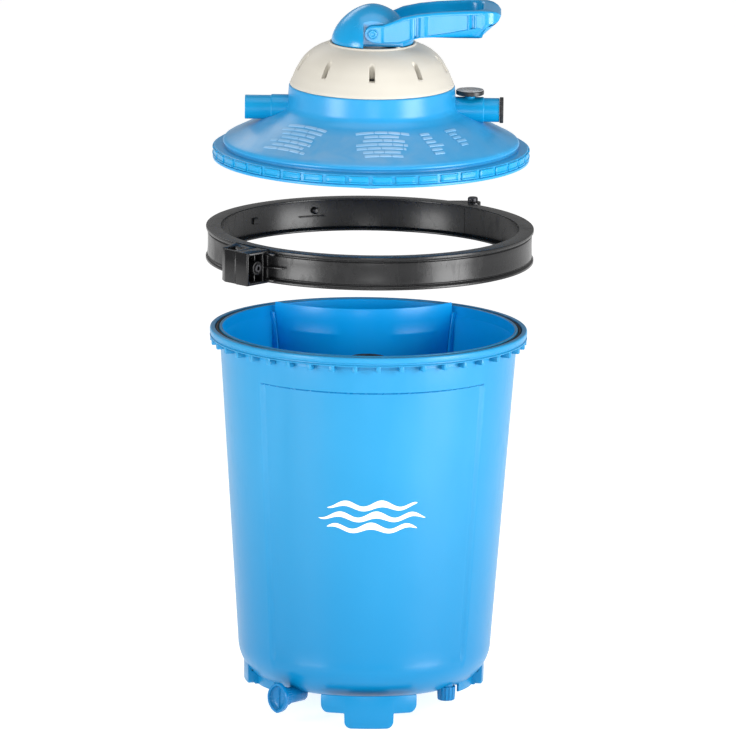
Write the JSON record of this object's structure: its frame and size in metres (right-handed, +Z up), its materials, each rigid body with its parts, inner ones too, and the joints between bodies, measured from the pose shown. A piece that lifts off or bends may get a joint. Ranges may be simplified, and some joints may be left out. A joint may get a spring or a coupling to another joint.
{
  "type": "water filter",
  "caption": "Upright water filter shown apart: tapered tank with drains, hinged clamp band, and a lid carrying a domed lever valve with hose ports and a gauge.",
  "frame": {"origin": "on the tank's vertical axis, on the plane of its feet, which is the middle of the bounding box's underside", "axes": "+Z up along the tank; +X to the right, where the lever and the gauged port point; -Y towards the front foot"},
  "size_m": [0.515, 0.515, 1.123],
  "materials": {
    "tank_blue": "semi-gloss sky-blue moulded plastic, slightly mottled",
    "lid_blue": "semi-gloss sky-blue moulded plastic",
    "handle_blue": "semi-gloss sky-blue moulded plastic",
    "cap_blue": "semi-gloss blue moulded plastic",
    "cover_white": "satin off-white moulded plastic",
    "pipe_white": "satin white pipe plastic",
    "clamp_charcoal": "satin charcoal moulded plastic",
    "fitting_black": "satin black plastic",
    "rubber_black": "dull black rubber",
    "dial_white": "matt white printed dial",
    "needle_red": "matt red paint",
    "lens_clear": "clear flat lens",
    "fixing_steel": "plain stainless steel"
  },
  "bodies": {
    "tank": {"tank": "tank_blue", "baffle_plate": "tank_blue", "flange_o_ring": "rubber_black", "standpipe": "pipe_white", "standpipe_seal": "rubber_black", "lateral_hub": "pipe_white", "lateral_1": "pipe_white", "lateral_2": "pipe_white", "lateral_3": "pipe_white", "lateral_4": "pipe_white", "lateral_5": "pipe_white", "lateral_6": "pipe_white", "lateral_7": "pipe_white", "lateral_8": "pipe_white"},
    "wing_seal": {"wing_cap_seal": "rubber_black"},
    "wing_cap": {"drain_wing_cap": "cap_blue"},
    "plug_ring": {"plug_seal": "rubber_black"},
    "plug": {"drain_plug": "cap_blue"},
    "clamp_rear": {"clamp_half_rear": "clamp_charcoal", "hinge_pin": "fixing_steel", "insert_nut": "fixing_steel"},
    "clamp_front": {"clamp_half_front": "clamp_charcoal"},
    "bolt_carrier": {"bolt_washer": "fixing_steel"},
    "bolt": {"clamp_bolt": "fixing_steel"},
    "lid": {"lid": "lid_blue", "valve_cover": "cover_white", "cover_o_ring": "rubber_black", "spider_gasket": "rubber_black", "port_seal": "fitting_black", "gauge_case": "fitting_black", "gauge_dial": "dial_white", "gauge_lens": "lens_clear", "shaft_o_ring": "rubber_black", "valve_cover_screw_1": "fixing_steel", "valve_cover_screw_2": "fixing_steel", "valve_cover_screw_3": "fixing_steel", "valve_cover_screw_4": "fixing_steel", "valve_cover_screw_5": "fixing_steel", "valve_cover_screw_6": "fixing_steel", "valve_cover_screw_7": "fixing_steel", "valve_cover_screw_8": "fixing_steel", "valve_cover_screw_9": "fixing_steel"},
    "needle": {"gauge_needle": "needle_red"},
    "turret": {"handle_bonnet": "handle_blue", "pivot_pin": "handle_blue", "thrust_washer": "pipe_white", "valve_spring": "fixing_steel"},
    "lever": {"lever_handle": "handle_blue"},
    "rotor": {"rotor_shaft": "fixing_steel", "valve_rotor": "pipe_white"}
  },
  "joints": [
    {"name": "clamp_lower", "type": "slide", "parent": "tank", "child": "clamp_rear", "axis": [0, 0, 1], "range_m": [-0.1371, 0.04]},
    {"name": "clamp_open", "type": "hinge", "parent": "clamp_rear", "child": "clamp_front", "pos_m": [0.16179, 0.21865, 0.741], "axis": [0, 0, 1], "range_deg": [0, 100]},
    {"name": "bolt_drive", "type": "slide", "parent": "clamp_front", "child": "bolt_carrier", "axis": [0.7254, -0.6884, 0], "range_m": [-0.0112, 0]},
    {"name": "bolt_turn", "type": "hinge", "parent": "bolt_carrier", "child": "bolt", "pos_m": [-0.19274, -0.2031, 0.741], "axis": [0.7254, -0.6884, 0], "range_deg": [-3222, 0]},
    {"name": "lid_lower", "type": "slide", "parent": "clamp_rear", "child": "lid", "axis": [0, 0, 1], "range_m": [-0.1326, 0.05]},
    {"name": "gauge_sweep", "type": "hinge", "parent": "lid", "child": "needle", "pos_m": [0.154, 0, 0.984], "axis": [0, 0, -1], "range_deg": [0, 270]},
    {"name": "valve_turn", "type": "hinge", "parent": "lid", "child": "turret", "pos_m": [0, 0, 1.07], "axis": [0, 0, 1], "continuous": true},
    {"name": "lever_press", "type": "hinge", "parent": "turret", "child": "lever", "pos_m": [0, 0, 1.084], "axis": [0, 1, 0], "range_deg": [0, 8], "stiffness_Nm_per_rad": 12, "springref_deg": -20.05},
    {"name": "rotor_lift", "type": "slide", "parent": "turret", "child": "rotor", "axis": [0, 0, 1], "range_m": [0, 0.006], "deforming": ["valve_spring"]},
    {"name": "wing_seal_slide", "type": "slide", "parent": "tank", "child": "wing_seal", "axis": [-0.6455, -0.7638, 0], "range_m": [0, 0.012]},
    {"name": "wing_cap_turn", "type": "hinge", "parent": "wing_seal", "child": "wing_cap", "pos_m": [-0.12006, -0.14207, 0.0422], "axis": [-0.6455, -0.7638, 0], "range_deg": [0, 720]},
    {"name": "plug_seal_slide", "type": "slide", "parent": "tank", "child": "plug_ring", "axis": [0, 0, -1], "range_m": [0, 0.012]},
    {"name": "plug_turn", "type": "hinge", "parent": "plug_ring", "child": "plug", "pos_m": [0.12991, -0.10334, 0.042], "axis": [0, 0, -1], "range_deg": [0, 720]}
  ],
  "couplings": [
    {"joint": "bolt_drive", "follows": "bolt_turn", "m_per_rad": 0.00019894},
    {"joint": "rotor_lift", "follows": "lever_press", "m_per_rad": 0.04297},
    {"joint": "wing_seal_slide", "follows": "wing_cap_turn", "m_per_rad": 0.00095493},
    {"joint": "plug_seal_slide", "follows": "plug_turn", "m_per_rad": 0.00095493}
  ]
}
